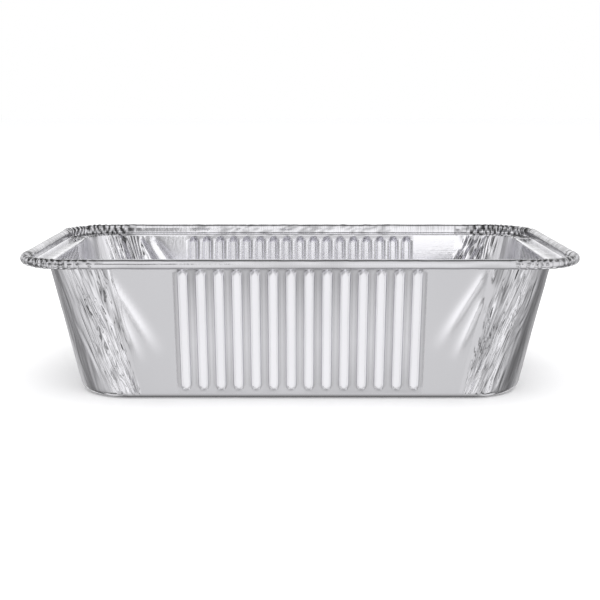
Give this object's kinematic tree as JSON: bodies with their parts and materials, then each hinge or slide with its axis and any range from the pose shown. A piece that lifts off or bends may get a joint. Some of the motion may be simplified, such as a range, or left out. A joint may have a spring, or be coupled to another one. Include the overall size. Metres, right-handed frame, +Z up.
{
  "type": "aluminium foil tray",
  "caption": "Deep rectangular foil food tray pressed from one thin sheet: tapered tub with fluted walls, gathered corners, a flat lid ledge and a rolled edge, open at the top.",
  "frame": {"origin": "middle of the underside of the floor, at floor height", "axes": "+X along the length, +Y to the back long wall (the one with 17 flutes), +Z up out of the open mouth"},
  "size_m": [0.22, 0.116, 0.0594],
  "materials": {
    "foil": "bright plain rolled foil, semi-mirror, with fine press lines on the walls and tight creases at the corners"
  },
  "bodies": {
    "root": {"foil_tray": "foil"}
  },
  "joints": []
}
